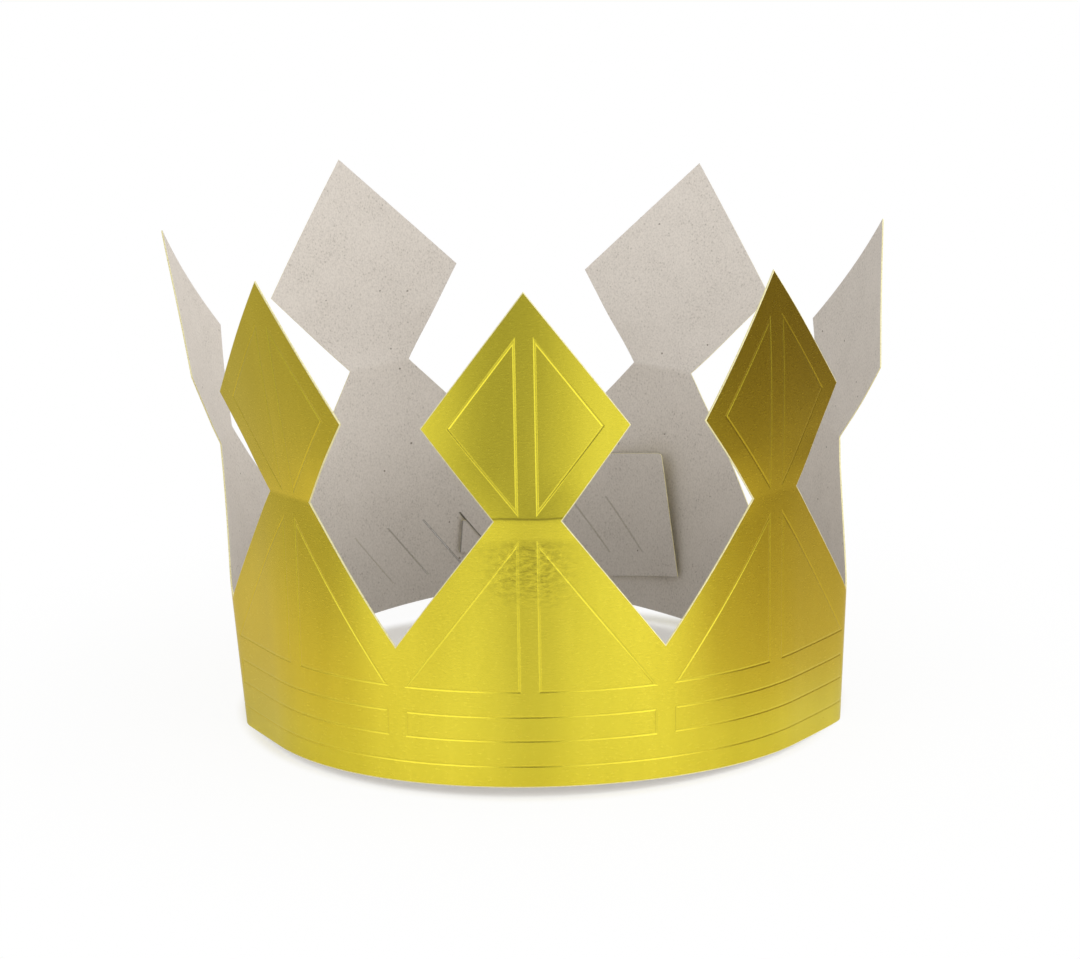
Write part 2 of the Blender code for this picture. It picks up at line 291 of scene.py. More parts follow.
def pressedRings(centre):
    # two half gems, two half panels and one plate for each point
    rings = []
    panelFoot, low, high = pressed["panelFoot"], pressed["plateFoot"], pressed["plateTop"]
    for side in (-1, 1):
        near = centre + side * pressed["spineGap"] / 2
        gemFar = centre + side * pressed["gemWidth"] / 2
        panelFar = centre + side * (blank["pitch"] - pressed["panelGap"]) / 2
        rings.append([(near, pressed["gemTop"]), (gemFar, blank["cornerHeight"]), (near, pressed["gemFoot"])])
        rings.append([(near, pressed["panelTop"]), (panelFar, panelFoot), (near, panelFoot)])
    half = (blank["pitch"] - pressed["plateGap"]) / 2
    left, right = centre - half, centre + half
    rings.append([(left, low), (right, low), (right, high), (left, high)])
    return rings


def lineCutter():
    mesh = bmesh.new()
    for number in range(-lastPoint, lastPoint + 1):
        for corners in pressedRings(number * blank["pitch"]):
            rings = [[mesh.verts.new((*spot, level)) for spot in mitred(corners, distance)]
                     for distance, level in grooveProfile()]
            joinRings(mesh, rings, True)
    # the border runs straight along the whole strip
    end = lastValley - pressed["borderInset"]
    rings = [[mesh.verts.new((x, pressed["border"] + distance, level)) for x in (-end, end)]
             for distance, level in grooveProfile()]
    joinRings(mesh, rings, False)
    bmesh.ops.recalc_face_normals(mesh, faces=mesh.faces)
    return addObject("lineCutter", mesh)


def slitCutter():
    outlines = []
    for number in range(slits["count"]):
        top, foot = slitLine(number)
        along = (foot - top).normalized()
        across = Vector((-along.y, along.x)) * (slits["kerf"] / 2)
        outlines.append([top - across, foot - across, foot + across, top + across])
    return plate("slitCutter", outlines, -halfBoard - overrun, halfBoard + overrun)


def rollEdges(flat):
    # a narrow ring round the foil face, whose outer edge is pushed down
    mesh = bmesh.new()
    mesh.from_mesh(flat.data)
    foilFace = [face for face in mesh.faces if face.normal.z > 0.5]
    bmesh.ops.inset_region(mesh, faces=foilFace, thickness=blank["edgeRoll"], use_even_offset=True,
                           use_boundary=True)
    mesh.normal_update()
    walls = [face for face in mesh.faces if abs(face.normal.z) < 0.5]
    outer = {corner for face in walls for corner in face.verts if corner.co.z > 0}
    bmesh.ops.translate(mesh, verts=list(outer), vec=(0, 0, -blank["edgeDrop"]))
    mesh.to_mesh(flat.data)
    mesh.free()


def cutBlank():
    flat = plate("flatBlank", [blankOutline()], -halfBoard, halfBoard)
    rollEdges(flat)
    cutters = [lineCutter(), slitCutter()]
    for cutter in cutters:
        modifier = flat.modifiers.new(cutter.name, "BOOLEAN")
        modifier.operation = "DIFFERENCE"
        modifier.object = cutter
    bpy.context.view_layer.update()
    shape = flat.evaluated_get(bpy.context.evaluated_depsgraph_get())
    mesh = bmesh.new()
    mesh.from_mesh(shape.to_mesh())
    shape.to_mesh_clear()
    for item in [flat] + cutters:
        bpy.data.objects.remove(item)
    return mesh


# The bent sheet

def ovalSection():
    angles = np.linspace(-math.pi, math.pi, bending["ovalSteps"] + 1)
    reach = np.ones_like(angles)
    for waves, (share, degrees) in bending["oval"].items():
        reach += share * np.cos(waves * (angles - math.radians(degrees)))
    for degrees, share in bending["folds"]:
        away = np.hypot(angles - math.radians(degrees), math.radians(bending["foldRound"]))
        reach += share * np.maximum(0, 1 - away / math.radians(bending["foldSpread"])) ** 2
    ahead, aside = reach * np.cos(angles), reach * np.sin(angles)
    walked = np.concatenate([[0], np.cumsum(np.hypot(np.diff(ahead), np.diff(aside)))])
    scale = turnTotal / walked[-1]
    return angles, ahead * scale, aside * scale, walked * scale


ovalHeadings, ovalAhead, ovalAside, ovalWalked = ovalSection()
ovalFront = ovalWalked[bending["ovalSteps"] // 2]


def conePoint(x, y):
    across, up = x - shift, drop + y
    reach = math.hypot(across, up)
    walked = (math.atan2(across, up) - turnFront + ovalFront) % turnTotal
    ahead = float(np.interp(walked, ovalWalked, ovalAhead))
    aside = float(np.interp(walked, ovalWalked, ovalAside))
    rise = math.sqrt(1 - ahead * ahead - aside * aside)
    heading = math.atan2(aside, ahead)
    height = reach - drop
    out = roundWay = lift = 0
    for waves, (share, degrees) in bending["sway"].items():
        angle = waves * (heading - math.radians(degrees))
        out += share * height * math.cos(angle)
        roundWay -= share * height * math.sin(angle) / waves
        lift -= share * loopLength / (2 * math.pi) * math.cos(angle) / waves ** 2
    outward = Vector((math.sin(heading), -math.cos(heading), 0))
    onward = Vector((math.cos(heading), math.sin(heading), 0))
    return Vector((aside, -ahead, rise)) * reach - Vector((0, 0, drop - lift)) + outward * out + onward * roundWay


def neckFrame(number):
    centre, probe, height = number * blank["pitch"], bending["probe"], blank["neckHeight"]
    hinge = conePoint(centre + probe, height) - conePoint(centre - probe, height)
    upright = conePoint(centre, height + probe) - conePoint(centre, height - probe)
    return conePoint(centre, height), hinge.normalized(), upright.normalized()


neckFrames = {number: neckFrame(number) for number in range(-lastPoint, lastPoint + 1)}


def sheetPoint(x, y):
    spot = conePoint(x, y)
    neck, bend = blank["neckHeight"], bending["neckBend"]
    if y <= neck - bend:
        return spot
    number = min(max(round(x / blank["pitch"]), -lastPoint), lastPoint)
    centre, half = number * blank["pitch"], blank["neckWidth"] / 2
    onward = conePoint(centre + half, y) - conePoint(centre - half, y)
    flat = conePoint(centre, y) + onward * ((x - centre) / (2 * half))
    spot = spot.lerp(flat, bending["flatten"] * ease(y, neck - bend, neck + bend))
    middle, hinge, upright = neckFrames[number]
    tall = blank["tip"] - neck
    risen = max(0.0, y - neck) / tall
    arch = math.radians(bending["bow"][number + lastPoint]) * tall * risen * (1 - risen) / 2
    spot = spot + hinge.cross(upright) * arch
    crease = bending["crease"]
    lean = math.radians(bending["lean"][number + lastPoint]) * ease(y, neck - crease, neck + crease)
    turn = math.radians(bending["turn"][number + lastPoint]) * ease(y, neck - bend, neck + bending["neckTurn"])
    return middle + Matrix.Rotation(turn, 3, upright) @ Matrix.Rotation(lean, 3, hinge) @ (spot - middle)


def sheetAxes(x, y):
    probe = bending["probe"] * 4
    onward = (sheetPoint(x + probe, y) - sheetPoint(x - probe, y)).normalized()
    upward = (sheetPoint(x, y + probe) - sheetPoint(x, y - probe)).normalized()
    return onward, upward, onward.cross(upward).normalized()


def lipOpening(x, y):
    top, foot = slitLine(slits["used"])
    along = (top - foot).normalized()
    offset = Vector((x, y)) - foot
    away, place, length = offset.x * along.y - offset.y * along.x, offset.dot(along), (top - foot).length
    spread = max(0.0, 1 - abs(away) / bending["lipReach"]) ** 2
    ends = bending["lipEnds"]
    return spread * ease(place, 0, ends) * ease(length - place, 0, ends), away


def layerOffset(x, y):
    # how far the board moves outward to lie over or under the other end
    eased = bending["easeLength"]
    edge = loopLength / 2 - eased
    if x > 0:
        over = ease(x, edge - blank["flapLength"] - eased, edge - blank["flapLength"])
        opening, away = lipOpening(*turnedEnd(x, y, -1))
        if away > 0 and x > lastValley:
            lifted = bending["tongueLift"] * ease(x, tongueEnd - bending["tongueLiftLength"], tongueEnd)
            return lap * (opening - 1.5) - lifted
        return lap * (over / 2 - opening)
    under = ease(-x, edge - eased, edge)
    opening, away = lipOpening(x, y)
    side = 1 if away > 0 else -1
    heightShare = min(max(y / blank["valley"], 0.0), 1.0)
    lift = bending["flapFootLift"] + (bending["flapLift"] - bending["flapFootLift"]) * heightShare
    reach = bending["flapLiftLength"]
    return lap * (side * opening - under / 2) - 2 * lift * ease(-x, -flapEnd - reach, -flapEnd + reach)


def score(mesh, spot, normal, near=None):
    faces = [face for face in mesh.faces if near is None or near(face.calc_center_median())]
    edges = {edge for face in faces for edge in face.edges}
    corners = {corner for face in faces for corner in face.verts}
    touched = faces + list(edges) + list(corners)
    bmesh.ops.bisect_plane(mesh, geom=touched, dist=scores["snap"], plane_co=spot, plane_no=normal)


def scoreFolds(mesh):
    for degrees, share in bending["folds"]:
        walked = float(np.interp(math.radians(degrees), ovalHeadings, ovalWalked))
        for step in scores["fold"]:
            turn = turnFront + walked - ovalFront + step * bending["foldBend"] / drop
            score(mesh, (shift, -drop, 0), (math.cos(turn), -math.sin(turn), 0))


def scoreNecks(mesh):
    neck, bend = blank["neckHeight"], bending["neckBend"]
    heights = [bend * share for share in scores["belowNeck"]]
    heights += [bending["crease"] * share for share in scores["crease"]]
    heights += [bend * share for share in scores["aboveNeck"]] + [bending["neckTurn"]]
    heights += [(blank["tip"] - neck) * share for share in scores["gem"]]
    for height in heights:
        score(mesh, (0, neck + height, 0), (0, 1, 0))


def scoreLips(mesh, top, foot):
    length, along, middle = (top - foot).length, (top - foot).normalized(), (top + foot) / 2
    across = Vector((along.y, -along.x))
    reach, inner = bending["lipReach"], bending["lipEnds"]

    def near(centre):
        return (centre.xy - middle).length < length / 2 + reach
    for step in scores["lip"]:
        score(mesh, (*(middle + across * (step * reach)), 0), (*across, 0), near)
    for place in (0, inner / 2, inner, length / 2, length - inner, length - inner / 2, length):
        score(mesh, (*(middle + along * (place - length / 2)), 0), (*along, 0), near)


def scoreAll(mesh):
    column = blank["column"]
    for number in range(math.ceil(flapEnd / column), math.floor(tongueEnd / column) + 1):
        score(mesh, (number * column, 0, 0), (1, 0, 0))
    scoreFolds(mesh)
    scoreNecks(mesh)
    top, foot = slitLine(slits["used"])
    scoreLips(mesh, top, foot)
    scoreLips(mesh, Vector(turnedEnd(*top, 1)), Vector(turnedEnd(*foot, 1)))


def finishOf(face):
    # 0 is the foil, 1 the board, 2 the cut edge and its crushed rim
    slope = face.normal.z
    least, most = blank["rimTilt"]
    lowest = halfBoard - blank["edgeDrop"] * blank["rimShare"]
    rim = least < slope < most and face.calc_center_median().z > lowest
    if rim or abs(slope) < least:
        return 2
    return 0 if slope > 0 else 1


def bentCrown():
    mesh = cutBlank()
    scoreAll(mesh)
    for face in mesh.faces:
        face.material_index = finishOf(face)
    bmesh.ops.triangulate(mesh, faces=mesh.faces)
    mesh.normal_update()
    flatWays = [face.normal.copy() for face in mesh.faces]
    stripMap = mesh.loops.layers.uv.new("strip")     # the place on the flat strip
    for face in mesh.faces:
        for loop in face.loops:
            loop[stripMap].uv = loop.vert.co.xy * stripUnit
    stand = Matrix.Rotation(math.radians(bending["restSide"]), 3, "Y")
    stand = stand @ Matrix.Rotation(-math.radians(bending["restBack"]), 3, "X")
    axes = []
    for corner in mesh.verts:
        x, y, z = corner.co
        onward, upward, outward = sheetAxes(x, y)
        axes.append([stand @ way for way in (onward, upward, outward)])
        corner.co = stand @ (sheetPoint(x, y) + outward * (z + layerOffset(x, y)))
    places = np.array([corner.co for corner in mesh.verts])
    low, high = places.min(axis=0), places.max(axis=0)
    middle = (low + high) / 2
    bmesh.ops.translate(mesh, verts=mesh.verts, vec=(-middle[0], -middle[1], -low[2]))
    mesh.verts.index_update()
    turned = []
    for face, way in zip(mesh.faces, flatWays):
        for loop in face.loops:
            onward, upward, outward = axes[loop.vert.index]
            turned.append((onward * way.x + upward * way.y + outward * way.z).normalized())
    crown = addObject("crownBand", mesh)
    crown.data.shade_smooth()
    crown.data.normals_split_custom_set(turned)     # smooth along the bend, crisp at cuts and pressed lines
    return crown


crown = bentCrown()
print("crown bent:", len(crown.data.polygons), "faces")

# Finishes

def nodeTools(tree):
    def node(kind, **settings):
        made = tree.nodes.new(kind if kind.startswith("NodeGroup") else "ShaderNode" + kind)
        for name, value in settings.items():
            setattr(made, name, value)
        return made

    def link(source, target):
        tree.links.new(source, target)
    return node, link


def mathNode(tree, operation, *values):
    made = tree.nodes.new("ShaderNodeMath")
    made.operation = operation
    for socket, value in zip(made.inputs, values):
        if isinstance(value, (int, float)):
            socket.default_value = value
        else:
            tree.links.new(value, socket)
    return made.outputs[0]


def product(tree, first, second):
    return mathNode(tree, "MULTIPLY", first, second)


def rangeNode(tree, value, start, end, low=0.0, high=1.0):
    made = tree.nodes.new("ShaderNodeMapRange")
    made.interpolation_type = "SMOOTHSTEP"
    for name, amount in (("From Min", start), ("From Max", end), ("To Min", low), ("To Max", high)):
        made.inputs[name].default_value = amount
    tree.links.new(value, made.inputs["Value"])
    return made.outputs[0]


def noiseNode(tree, place, scale, detail=3.0, stretch=None):
    if stretch:
        mapping = tree.nodes.new("ShaderNodeMapping")
        mapping.inputs["Scale"].default_value = stretch
        tree.links.new(place, mapping.inputs["Vector"])
        place = mapping.outputs[0]
    made = tree.nodes.new("ShaderNodeTexNoise")
    made.inputs["Detail"].default_value = detail
    tree.links.new(place, made.inputs["Vector"])
    if isinstance(scale, (int, float)):
        made.inputs["Scale"].default_value = scale
    else:
        tree.links.new(scale, made.inputs["Scale"])
    return made.outputs[0]


def rampNode(tree, value, stops):
    made = tree.nodes.new("ShaderNodeValToRGB")
    ramp = made.color_ramp
    while len(ramp.elements) < len(stops):
        ramp.elements.new(1.0)
    for element, (position, colour) in zip(ramp.elements, stops):
        element.position = position
        element.color = (*colour, 1)
    tree.links.new(value, made.inputs["Fac"])
    return made.outputs[0]


pulp = {
    "inputs": {"Fibre Size": 1400.0, "Cloud Amount": 0.3, "Speck Size": 300.0, "Speck Amount": 0.5},
    "stretch": (1.0, 1.0, 0.7),
    "cloudSize": 95.0,
    "dot": (0.05, 0.16),        # a speck's core and its edge
    "bare": 0.90,               # share of the cells that hold no speck
}


def makeFibreGroup():
    # short pressed fibres, slow clouding and a few specks of pulp, as a tone and a height
    tree = bpy.data.node_groups.new("pulpFibre", "ShaderNodeTree")
    tree.interface.new_socket("Place", in_out="INPUT", socket_type="NodeSocketVector")
    for name, default in pulp["inputs"].items():
        socket = tree.interface.new_socket(name, in_out="INPUT", socket_type="NodeSocketFloat")
        socket.default_value = default
    for name in ("Tone", "Height"):
        tree.interface.new_socket(name, in_out="OUTPUT", socket_type="NodeSocketFloat")
    node, link = nodeTools(tree)
    given, result = node("NodeGroupInput"), node("NodeGroupOutput")
    place = given.outputs["Place"]
    fibre = noiseNode(tree, place, given.outputs["Fibre Size"], 2.0, pulp["stretch"])
    cloud = noiseNode(tree, place, pulp["cloudSize"])
    speck = node("TexVoronoi", feature="F1")
    link(place, speck.inputs["Vector"])
    link(given.outputs["Speck Size"], speck.inputs["Scale"])
    dot = rangeNode(tree, speck.outputs["Distance"], *pulp["dot"], 1.0, 0.0)
    pick = node("SeparateColor")
    link(speck.outputs["Color"], pick.inputs[0])
    few = mathNode(tree, "GREATER_THAN", pick.outputs[0], pulp["bare"])
    dark = product(tree, product(tree, dot, few), given.outputs["Speck Amount"])
    clouded = product(tree, mathNode(tree, "SUBTRACT", cloud, 0.5), given.outputs["Cloud Amount"])
    tone = mathNode(tree, "SUBTRACT", mathNode(tree, "ADD", fibre, clouded), dark)
    link(tone, result.inputs["Tone"])
    link(fibre, result.inputs["Height"])
    return tree


fibreGroup = makeFibreGroup()

board = {
    "stops": ((0.10, (0.28, 0.245, 0.205)), (0.36, (0.670, 0.619, 0.559)), (0.64, (0.768, 0.713, 0.648))),
    "roughness": 0.92,
    "fibre": 2000.0,
    "cloud": 0.25,
    "speck": 330.0,
    "speckAmount": 0.55,
    "bump": 0.10,
    "paintedFootShade": 0.69,      # painted shade: the board is darker towards its foot, where the crown's own walls shade it
    "slitPaintedShade": 0.80,      # painted shade: a dark line along each slit, standing for the shadow in its gap
    "tongueEndShadow": 0.45,       # painted shadow along the tongue's end edge
    "endWidth": 0.0008,
}

cutEdge = {
    "stops": ((0.20, (0.58, 0.50, 0.22)), (0.42, (0.82, 0.75, 0.40)), (0.64, (0.92, 0.87, 0.52))),
    "roughness": 0.88,
    "fibre": 2600.0,
    "cloud": 0.3,
    "speck": 900.0,
    "speckAmount": 0.3,
    "bump": 0.10,
    "paintedFootShade": 1.0,
}

paper = {
    "shadeHeights": (-0.01, 0.09),      # heights on the strip over which the painted shade at the foot fades out
    "bumpDepth": 0.0002,
    "specular": 0.2,
}

foil = {
    "stops": ((0.32, (0.770, 0.655, 0.043)), (0.68, (0.860, 0.735, 0.056))),
    "roughness": 0.22,
    "roughnessSpread": 0.08,
    "anisotropy": 0.8,
    "glossTurn": 0.25,          # of a full turn, so that gloss runs up and down the strip
    "streak": 1.6,
    "streakStretch": (6.0, 0.9, 1.0),
    "grain": 190.0,
    "grainStretch": (0.35, 1.0, 1.0),
    "bump": 0.05,
    "bumpDepth": 0.0003,
    "coat": 0.25,
    "coatRoughness": 0.4,
}

# The foil round the front neck: heights and widths are in metres on the flat strip

frontNeck = {
    "reach": 0.03,                          # to either side of the point's middle
    "crease": 0.08465,                      # the sheet bends sharply here; painted shade runs along the crease
    "creaseSoft": (0.0001, 0.00055),
    "wander": 0.0012,
    "wanderSize": 9.0,
    "creasePaintedShade": 0.62,
    "tightFoot": (0.076, 0.079),            # a painted highlight here, between crumple and crease
    "tightTop": (0.0840, 0.0848),
    "tightPaintedHighlight": 0.16,
    "crumpleFoot": (0.053, 0.066),          # finely crumpled here
    "crumpleTop": (0.074, 0.079),
    "crumpleSides": (0.005, 0.019),
    "crumpleSize": 62.0,
    "crumpleStretch": (0.6, 1.0, 1.0),
    "crumple": 0.45,
    "crumpleDepth": 0.0005,
    "fleck": (0.40, 0.62),
    "fleckShade": 0.19,
}


def newMaterial(name):
    material = bpy.data.materials.new(name)
    material.use_nodes = True
    tree = material.node_tree
    return material, tree, tree.nodes["Principled BSDF"]


def stripPlace(tree):
    # the place on the flat strip, then how far along it and how high up it
    strip = tree.nodes.new("ShaderNodeUVMap")
    strip.uv_map = "strip"
    parts = tree.nodes.new("ShaderNodeSeparateXYZ")
    tree.links.new(strip.outputs[0], parts.inputs[0])
    return strip.outputs[0], parts.outputs[0], parts.outputs[1]


def onStrip(lengths):
    return [length * stripUnit for length in lengths]


def slitShadeLines(tree, along, height):
    # the strength of the painted shade line wherever a slit runs, worked out from the strip's own measures
    tall, apart = slits["height"], slits["pitch"]
    up = mathNode(tree, "MULTIPLY_ADD", height, 1 / (tall * stripUnit), -slits["foot"] / tall)
    start = (slits["first"] + slits["run"]) * stripUnit
    leaned = mathNode(tree, "MULTIPLY_ADD", up, -slits["run"] * stripUnit, start)
    count = product(tree, mathNode(tree, "ADD", along, leaned), -1 / (apart * stripUnit))
    away, hair = mathNode(tree, "PINGPONG", count, 0.5), slits["hair"] / apart
    line = rangeNode(tree, away, hair * slits["hairCore"], hair, 1.0, 0.0)
    for value, low, high in ((up, 0.0, 1.0), (count, -0.5, slits["count"] - 0.5)):
        line = product(tree, line, mathNode(tree, "GREATER_THAN", value, low))
        line = product(tree, line, mathNode(tree, "LESS_THAN", value, high))
    marks = [(number / slits["count"], (strength,) * 3) for number, strength in enumerate(slits["marks"])]
    return product(tree, line, rampNode(tree, product(tree, count, 1 / slits["count"]), marks))


def makePaper(name, finish):
    material, tree, shader = newMaterial(name)
    node, link = nodeTools(tree)
    place, fibre = node("TexCoord"), node("Group", node_tree=fibreGroup)
    for socket, key in zip(pulp["inputs"], ("fibre", "cloud", "speck", "speckAmount")):
        fibre.inputs[socket].default_value = finish[key]
    link(place.outputs["Object"], fibre.inputs["Place"])
    colour = rampNode(tree, fibre.outputs["Tone"], finish["stops"])
    along, height = stripPlace(tree)[1:]
    # painted shade: darker towards the foot of the strip
    shade = rangeNode(tree, height, *onStrip(paper["shadeHeights"]), finish["paintedFootShade"], 1.0)
    if "slitPaintedShade" in finish:
        # painted shade along each slit
        line = mathNode(tree, "MULTIPLY_ADD", slitShadeLines(tree, along, height), -finish["slitPaintedShade"], 1.0)
        # painted shadow: the board is darkened along the tongue's end edge
        end, wide = onStrip((tongueEnd, finish["endWidth"]))
        tongueEndShadowLine = rangeNode(tree, along, end - wide, end - wide / 2, 1.0, finish["tongueEndShadow"])
        shade = product(tree, product(tree, shade, line), tongueEndShadowLine)
    tint = node("VectorMath", operation="SCALE")
    link(colour, tint.inputs[0])
    link(shade, tint.inputs["Scale"])
    link(tint.outputs[0], shader.inputs["Base Color"])
    bump = node("Bump")
    bump.inputs["Strength"].default_value = finish["bump"]
    bump.inputs["Distance"].default_value = paper["bumpDepth"]
    link(fibre.outputs["Height"], bump.inputs["Height"])
    link(bump.outputs["Normal"], shader.inputs["Normal"])
    shader.inputs["Roughness"].default_value = finish["roughness"]
    shader.inputs["Specular IOR Level"].default_value = paper["specular"]
    return material


def frontNeckLightAndCrumple(tree, strip, along, height):
    # painted light round the front neck: a painted highlight where the foil is drawn tight, painted shade along
    # the crease and darker flecks where it is crumpled; and the height of its crumpling
    aside = mathNode(tree, "ABSOLUTE", along)
    front = mathNode(tree, "LESS_THAN", aside, frontNeck["reach"] * stripUnit)
    wander = frontNeck["wander"] * stripUnit
    fold = noiseNode(tree, strip, frontNeck["wanderSize"], 2.0)
    level = mathNode(tree, "ADD", height, mathNode(tree, "MULTIPLY_ADD", fold, wander, -wander / 2))
    # painted shade along the crease
    offCrease = mathNode(tree, "SUBTRACT", level, frontNeck["crease"] * stripUnit)
    soft = onStrip(frontNeck["creaseSoft"])
    crease = product(tree, rangeNode(tree, mathNode(tree, "ABSOLUTE", offCrease), *soft, 1.0, 0.0), front)
    above = rangeNode(tree, height, *onStrip(frontNeck["crumpleFoot"]))
    below = rangeNode(tree, height, *onStrip(frontNeck["crumpleTop"]), 1.0, 0.0)
    ahead = rangeNode(tree, aside, *onStrip(frontNeck["crumpleSides"]), 1.0, 0.0)
    zone = product(tree, product(tree, above, below), ahead)
    crumple = noiseNode(tree, strip, frontNeck["crumpleSize"], 4.0, frontNeck["crumpleStretch"])
    crumpled = product(tree, product(tree, crumple, zone), frontNeck["crumple"])
    flecks = product(tree, rangeNode(tree, crumple, *frontNeck["fleck"]), zone)
    # a painted highlight where the foil is drawn tight
    tightFoot = rangeNode(tree, height, *onStrip(frontNeck["tightFoot"]))
    tightTop = rangeNode(tree, height, *onStrip(frontNeck["tightTop"]), 1.0, 0.0)
    tight = product(tree, product(tree, tightFoot, tightTop), front)
    paintedShineAndShade = mathNode(tree, "MULTIPLY_ADD", flecks, -frontNeck["fleckShade"], 1.0)
    paintedShineAndShade = mathNode(tree, "MULTIPLY_ADD", tight, frontNeck["tightPaintedHighlight"], paintedShineAndShade)
    creasePaintedShadow = mathNode(tree, "MULTIPLY_ADD", crease, frontNeck["creasePaintedShade"] - 1.0, 1.0)
    return product(tree, paintedShineAndShade, creasePaintedShadow), crumpled


def makeFoil():
    material, tree, shader = newMaterial("goldFoil")
    node, link = nodeTools(tree)
    strip, along, height = stripPlace(tree)
    streak = noiseNode(tree, strip, foil["streak"], 3.0, foil["streakStretch"])
    grain = noiseNode(tree, strip, foil["grain"], 3.0, foil["grainStretch"])
    paintedShineAndShade, crumpled = frontNeckLightAndCrumple(tree, strip, along, height)
    mottle = mathNode(tree, "ADD", product(tree, streak, 0.5), product(tree, grain, 0.5))
    # the painted highlight and painted shade round the front neck scale the gold
    tint = node("VectorMath", operation="SCALE")
    link(rampNode(tree, mottle, foil["stops"]), tint.inputs[0])
    link(paintedShineAndShade, tint.inputs["Scale"])
    link(tint.outputs[0], shader.inputs["Base Color"])
    rough = mathNode(tree, "MULTIPLY_ADD", grain, foil["roughnessSpread"], foil["roughness"])
    link(rough, shader.inputs["Roughness"])
    for socket, amount in (("Metallic", 1.0), ("Anisotropic", foil["anisotropy"]),
                           ("Anisotropic Rotation", foil["glossTurn"]), ("Coat Weight", foil["coat"]),
                           ("Coat Roughness", foil["coatRoughness"])):
        shader.inputs[socket].default_value = amount
    way = node("Tangent", direction_type="UV_MAP", uv_map="strip")
    link(way.outputs[0], shader.inputs["Tangent"])
    bump, creased = node("Bump"), node("Bump")
    bump.inputs["Strength"].default_value = foil["bump"]
    bump.inputs["Distance"].default_value = foil["bumpDepth"]
    creased.inputs["Strength"].default_value = 1.0
    creased.inputs["Distance"].default_value = frontNeck["crumpleDepth"]
    link(grain, bump.inputs["Height"])
    link(crumpled, creased.inputs["Height"])
    link(bump.outputs["Normal"], creased.inputs["Normal"])
    link(creased.outputs["Normal"], shader.inputs["Normal"])
    return material


crown.data.materials.append(makeFoil())
crown.data.materials.append(makePaper("greyBoard", board))
crown.data.materials.append(makePaper("paleCutEdge", cutEdge))
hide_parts("crown_band")
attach(crown, "root")
print("finishes made")

# Floor, room and lights

studio = {
    "floorRadius": 0.33,
    "floorSides": 96,
    "floorRoughness": 0.95,
    "floorPlace": (0.06, -0.02, -0.0002),      # it runs out farther to the right, where the foil mirrors it
    "floorColour": (0.93, 0.92, 0.89),
    "floorGlow": 0.07,                  # for the camera alone, so that the paper reads as white
    "fadeCentre": (0.003, -0.006, 0.0),
    "fade": ((0.0905, 0.0995, 0.92), (0.104, 0.24, 0.08)),      # from, to, share of white
    "sideReach": 0.80,                  # across the paper: warmer out to both sides, as the foil mirrors it
    "sideStops": ((0.3, (0.92, 0.79, 0.62)), (0.3875, (0.93, 0.92, 0.89)), (0.636, (0.93, 0.92, 0.89)),
                  (0.70, (0.72, 0.60, 0.45)), (0.82, (0.56, 0.45, 0.32))),
    "plainLight": (0.60, 0.60, 0.60),
    # azimuth from the front, elevation, distance, width, height, power
    "lamps": {
        "topLamp": (0, 82, 1.25, 1.2, 1.0, 2.0),
        "rightLamp": (50, 16, 1.1, 0.8, 0.55, 4.3),
        "leftLamp": (-50, 16, 1.1, 0.8, 0.55, 1.4),
        "sideLamp": (95, 32, 1.1, 0.7, 0.6, 1.9),
    },
    "lampAim": (0.0, 0.0, 0.06),
    # what the foil mirrors around the room, by azimuth: low down, and from the horizon up
    "roomStrength": 1.6,
    "roomLow": (
        (-180, (0.30, 0.29, 0.28)), (-150, (0.27, 0.25, 0.23)), (-115, (0.31, 0.28, 0.25)),
        (-80, (0.19, 0.18, 0.17)), (-60, (0.56, 0.62, 0.66)), (-40, (0.30, 0.31, 0.31)),
        (0, (0.43, 0.43, 0.43)), (18, (0.45, 0.46, 0.46)), (47, (0.84, 0.94, 1.06)),
        (62, (0.16, 0.15, 0.13)), (90, (0.11, 0.078, 0.058)), (120, (0.10, 0.07, 0.05)),
        (150, (0.22, 0.20, 0.18)), (180, (0.30, 0.29, 0.28))),
    "roomHigh": (
        (-180, (0.30, 0.30, 0.30)), (-135, (0.18, 0.17, 0.16)), (-105, (0.32, 0.29, 0.26)),
        (-75, (0.62, 0.61, 0.58)), (-50, (0.99, 1.00, 1.00)), (-22, (0.97, 0.98, 0.98)),
        (-6, (0.08, 0.08, 0.08)), (4, (0.08, 0.08, 0.08)), (13, (0.68, 0.69, 0.69)),
        (45, (1.10, 1.11, 1.11)), (62, (0.60, 0.58, 0.54)), (80, (0.10, 0.073, 0.058)),
        (130, (0.06, 0.05, 0.04)), (180, (0.30, 0.30, 0.30))),
    "roomBand": (-0.21, 0.21),          # sines of the elevations between which low turns to high
}


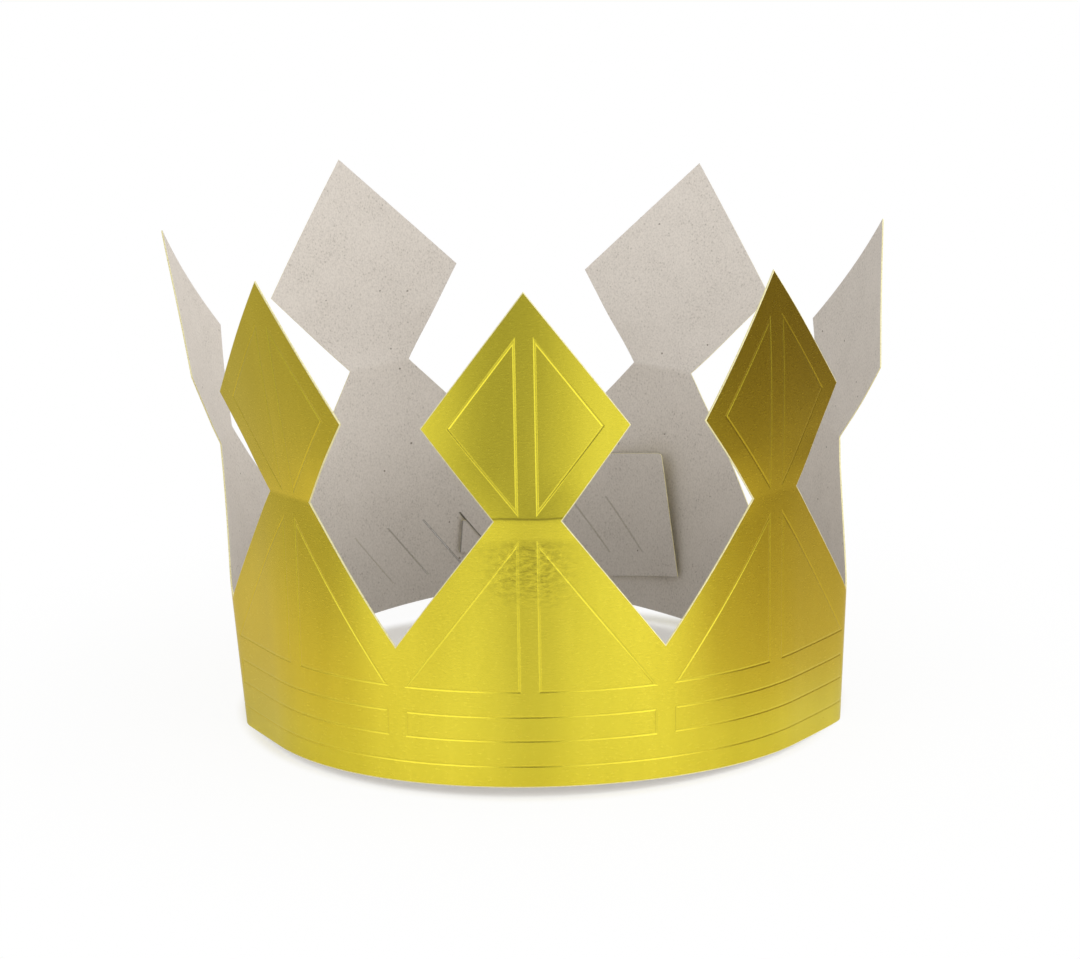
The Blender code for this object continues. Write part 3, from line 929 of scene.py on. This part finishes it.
def makeFloor():
    mesh = bmesh.new()
    bmesh.ops.create_circle(mesh, cap_ends=True, segments=studio["floorSides"], radius=studio["floorRadius"])
    bmesh.ops.translate(mesh, verts=mesh.verts, vec=studio["floorPlace"])
    floor = addObject("floor", mesh)
    material, tree, shader = newMaterial("palePaper")
    node, link = nodeTools(tree)
    shader.inputs["Roughness"].default_value = studio["floorRoughness"]
    shader.inputs["Specular IOR Level"].default_value = 0.0
    shader.inputs["Emission Color"].default_value = (1, 1, 1, 1)
    path, place, far = node("LightPath"), node("TexCoord"), node("VectorMath", operation="LENGTH")
    seen = path.outputs["Is Camera Ray"]
    link(product(tree, seen, studio["floorGlow"]), shader.inputs["Emission Strength"])
    offset = node("VectorMath", operation="SUBTRACT")
    offset.inputs[1].default_value = studio["fadeCentre"]
    link(place.outputs["Object"], offset.inputs[0])
    link(offset.outputs[0], far.inputs[0])
    parts, sheet = node("SeparateXYZ"), node("Mix", data_type="RGBA")
    link(place.outputs["Object"], parts.inputs[0])
    across = mathNode(tree, "MULTIPLY_ADD", parts.outputs[0], 1 / studio["sideReach"], 0.5)
    link(seen, sheet.inputs[0])
    link(rampNode(tree, across, studio["sideStops"]), sheet.inputs[6])
    sheet.inputs[7].default_value = (*studio["floorColour"], 1)
    link(sheet.outputs[2], shader.inputs["Base Color"])
    # away from the crown the paper runs out into the white background
    fades = [rangeNode(tree, far.outputs["Value"], start, end, 0.0, most) for start, end, most in studio["fade"]]
    share = product(tree, mathNode(tree, "ADD", *fades), seen)
    white, mix = node("Emission"), node("MixShader")
    link(share, mix.inputs[0])
    link(shader.outputs[0], mix.inputs[1])
    link(white.outputs[0], mix.inputs[2])
    link(mix.outputs[0], tree.nodes["Material Output"].inputs["Surface"])
    floor.data.materials.append(material)


def makeWorld():
    world = bpy.data.worlds.new("studio")
    bpy.context.scene.world = world
    world.use_nodes = True
    tree = world.node_tree
    node, link = nodeTools(tree)
    way, parts, path = node("TexCoord"), node("SeparateXYZ"), node("LightPath")
    link(way.outputs["Generated"], parts.inputs[0])
    azimuth = mathNode(tree, "ARCTAN2", parts.outputs[0], product(tree, parts.outputs[1], -1.0))
    share = mathNode(tree, "MULTIPLY_ADD", azimuth, 0.5 / math.pi, 0.5)
    bands = [rampNode(tree, share, [((degrees + 180) / 360, colour) for degrees, colour in studio[key]])
             for key in ("roomLow", "roomHigh")]
    room = node("Mix", data_type="RGBA")
    link(rangeNode(tree, parts.outputs[2], *studio["roomBand"]), room.inputs[0])
    link(bands[0], room.inputs[6])
    link(bands[1], room.inputs[7])
    plain, mirrored, seen = tree.nodes["Background"], node("Background"), node("Background")
    plain.inputs["Color"].default_value = (*studio["plainLight"], 1)
    link(room.outputs[2], mirrored.inputs["Color"])
    mirrored.inputs["Strength"].default_value = studio["roomStrength"]
    seen.inputs["Color"].default_value = (1, 1, 1, 1)
    metal, final = node("MixShader"), node("MixShader")
    link(path.outputs["Is Glossy Ray"], metal.inputs[0])
    link(plain.outputs[0], metal.inputs[1])
    link(mirrored.outputs[0], metal.inputs[2])
    link(path.outputs["Is Camera Ray"], final.inputs[0])
    link(metal.outputs[0], final.inputs[1])
    link(seen.outputs[0], final.inputs[2])
    link(final.outputs[0], tree.nodes["World Output"].inputs["Surface"])


def makeLamp(name, azimuth, elevation, distance, width, height, power):
    data = bpy.data.lights.new(name, "AREA")
    data.shape = "RECTANGLE"
    data.size = width
    data.size_y = height
    data.energy = power
    lamp = bpy.data.objects.new(name, data)
    lamp.visible_glossy = False         # the foil mirrors the lamps as soft panels in the room
    turn, rise = math.radians(azimuth), math.radians(elevation)
    away = Vector((math.cos(rise) * math.sin(turn), -math.cos(rise) * math.cos(turn), math.sin(rise)))
    lamp.location = Vector(studio["lampAim"]) + away * distance
    lamp.rotation_euler = away.to_track_quat("Z", "Y").to_euler()
    bpy.context.scene.collection.objects.link(lamp)


makeFloor()
makeWorld()
for name, settings in studio["lamps"].items():
    makeLamp(name, *settings)
bpy.context.scene.view_settings.view_transform = "Standard"
print("studio lit")
